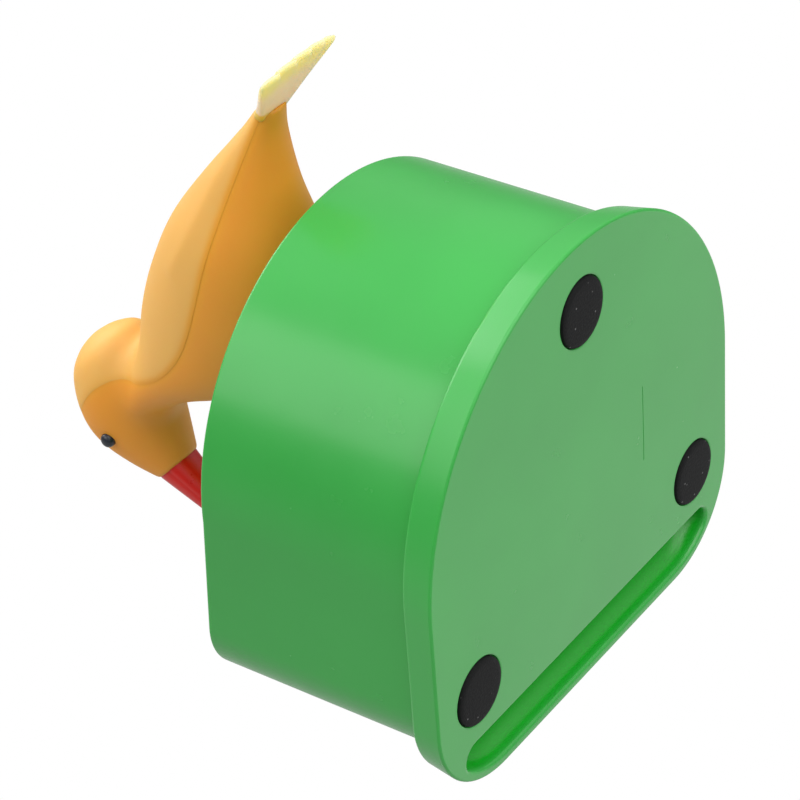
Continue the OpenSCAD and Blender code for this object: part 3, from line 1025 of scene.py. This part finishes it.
def make_world():
    """White studio. The light is soft from +Y, dimmer from the sides and pale again from -Y."""
    world = bpy.data.worlds.new("studio")
    world.use_nodes = True
    tree = world.node_tree
    lit = tree.nodes["Background"]
    shown = tree.nodes.new("ShaderNodeBackground")
    shown.inputs["Color"].default_value = (1, 1, 1, 1)
    direction = tree.nodes.new("ShaderNodeTexCoord")
    split = tree.nodes.new("ShaderNodeSeparateXYZ")
    half = tree.nodes.new("ShaderNodeMapRange")
    half.inputs["From Min"].default_value = -1
    ramp = tree.nodes.new("ShaderNodeValToRGB")
    stops = [(0.0, 0.6), (0.3, 0.6), (0.44, 0.23), (0.53, 0.24), (0.72, 0.78), (1.0, 1.05)]
    while len(ramp.color_ramp.elements) < len(stops):
        ramp.color_ramp.elements.new(0.5)
    for element, (at, grey) in zip(ramp.color_ramp.elements, stops):
        element.position = at
        element.color = (grey, grey, grey, 1)
    rays = tree.nodes.new("ShaderNodeLightPath")
    mix = tree.nodes.new("ShaderNodeMixShader")
    tree.links.new(direction.outputs["Generated"], split.inputs["Vector"])
    tree.links.new(split.outputs["Y"], half.inputs["Value"])
    tree.links.new(half.outputs["Result"], ramp.inputs["Fac"])
    tree.links.new(ramp.outputs["Color"], lit.inputs["Color"])
    tree.links.new(rays.outputs["Is Camera Ray"], mix.inputs["Fac"])
    tree.links.new(lit.outputs["Background"], mix.inputs[1])
    tree.links.new(shown.outputs["Background"], mix.inputs[2])
    tree.links.new(mix.outputs["Shader"], tree.nodes["World Output"].inputs["Surface"])
    bpy.context.scene.world = world


def make_floor():
    """A pale floor under the feet. It is clear from below, where the camera stands."""
    size = 1500
    corners = [(-size, -size), (size, -size), (size, size), (-size, size)]
    floor = mesh_object("floor", raised(corners, -0.05), [(0, 1, 2, 3)])
    for polygon in floor.data.polygons:
        if polygon.normal.z < 0:
            polygon.flip()
    m = Nodes("floor_pale")
    m.colour(m.ramp(m.noise(60, 2), [(0.3, (0.86, 0.86, 0.86, 1)), (0.7, (0.9, 0.9, 0.9, 1))]))
    m.set(Roughness=0.7)
    clear = m.add("ShaderNodeBsdfTransparent")
    mix = m.add("ShaderNodeMixShader")
    side = m.add("ShaderNodeNewGeometry")
    m.link(side.outputs["Backfacing"], mix.inputs["Fac"])
    m.link(m.shader.outputs["BSDF"], mix.inputs[1])
    m.link(clear.outputs["BSDF"], mix.inputs[2])
    m.link(mix.outputs["Shader"], m.tree.nodes["Material Output"].inputs["Surface"])
    floor.data.materials.append(m.material)
    floor.visible_diffuse = False
    floor.visible_glossy = False
    floor.visible_transmission = False
    floor.visible_shadow = False


# ---------------------------------------------------------------- build

# Painted shade: a deeper, purer green inside the finger recess
RECESS_SHADE_GREEN = srgb(4, 166, 26)
GREEN = moulded_plastic("green_plastic", srgb(56, 166, 70), (0.4, 1.2, 0.4), 0.2, 0.24, RECESS_SHADE_GREEN)
# Painted shade: a deeper orange along the crease between the shells
CREASE_SHADE_ORANGE = srgb(244, 158, 34)
ORANGE = moulded_plastic("bird_orange", srgb(237, 154, 42), (1.4, 0.8, 0.25), 0.35, 0.55, CREASE_SHADE_ORANGE)
LIGHT_ORANGE = moulded_plastic("bird_light_orange", srgb(234, 176, 86), (1.4, 0.9, 0.35), 0.35, 0.55,
                               CREASE_SHADE_ORANGE)
RED = moulded_plastic("beak_red", srgb(214, 20, 2), (1.6, 0.2, 0.1), 0.25, 0.28)
WHITE = moulded_plastic("white_plastic", srgb(228, 228, 222), (1, 1, 1), 0.1, 0.4)
TAIL = feather_plastic("tail_cream", srgb(236, 184, 76), srgb(255, 206, 184), srgb(255, 210, 150))
RUBBER = foam_rubber("foot_rubber", srgb(7, 8, 9))
EYE = moulded_plastic("eye_black", srgb(34, 38, 48), (1, 1, 1), 0.0, 0.25)
STEEL = bright_metal("screw_steel", srgb(190, 190, 192), 0.26)
SPRING = bright_metal("spring_steel", srgb(170, 172, 178), 0.22)
MARK_SKIN = bpy.data.materials.new("mark_skin")
MARK_CUT = bpy.data.materials.new("mark_cut")

make_camera()
make_world()
make_floor()
make_light("behind", (60, 600, -160), 500, 1.4)
make_light("band", (400, 330, 340), 380, 0.85)
make_light("low_front", (-340, -300, -180), 420, 0.22)
make_light("below", (-60, 300, -430), 420, 0.8)
make_light("above", (-60, 260, 560), 420, 1.8)

finish_piece(make_base(), "stand", GREEN, ["base_tray"])
finish_piece(make_housing(), "stand", GREEN, ["housing"])
finish_piece(make_hopper(), "stand", GREEN, ["hopper_tray"])
make_feet()
belly_obj, back_obj = make_shells()
belly_obj.name, back_obj.name = "belly", "back"
finish_piece(belly_obj, "bird", ORANGE, ["belly_shell"], 50)
finish_piece(back_obj, "bird", LIGHT_ORANGE, ["back_shell"], 50)
finish_piece(make_tail(), "bird", TAIL, ["tail"], 60)
finish_piece(make_beak(), "bird", RED, ["beak"], 50)
make_eyes()
paint(["pivot_post"], GREEN)
paint(["stop_pad"], RUBBER)
paint(["base_screws", "post_screws", "shell_screw", "pivot_pin", "pick_needle"], STEEL)
paint(["return_spring"], SPRING)
paint(["pin_spacer"], WHITE)

bpy.context.scene.view_settings.view_transform = "Standard"
